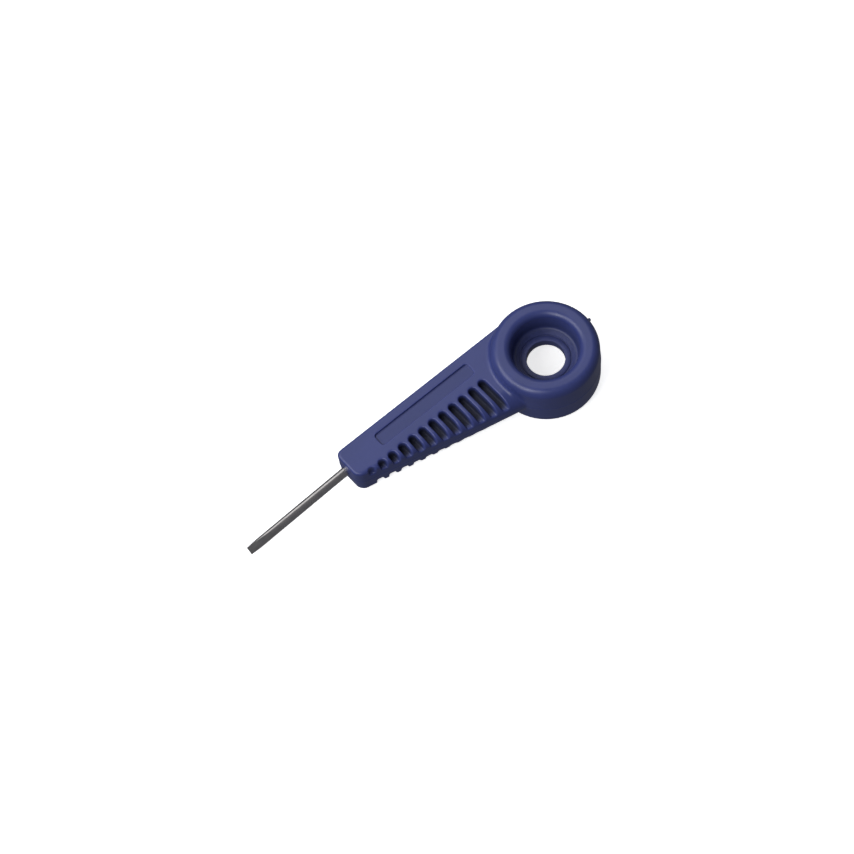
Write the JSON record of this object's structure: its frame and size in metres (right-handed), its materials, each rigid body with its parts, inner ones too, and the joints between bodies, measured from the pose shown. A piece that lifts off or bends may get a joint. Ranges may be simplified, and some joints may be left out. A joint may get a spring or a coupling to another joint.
{
  "type": "watchmaker screwdriver",
  "caption": "Slim watchmaker's screwdriver: flat-ground steel blade moulded into a tapered plastic handle with grip pockets and a thick ring head cupped for thumb and finger.",
  "frame": {"origin": "centre of the hole through the head, in the handle's middle plane", "axes": "+X along the blade towards its tip, +Z out of the broad face along the head's hole, +Y to the ribbed, flared side"},
  "size_m": [0.1089, 0.0309, 0.0162],
  "materials": {
    "handle_plastic": "satin moulded",
    "blade_steel": "ground and polished"
  },
  "bodies": {
    "root": {"handle": "handle_plastic", "blade": "blade_steel"}
  },
  "joints": []
}
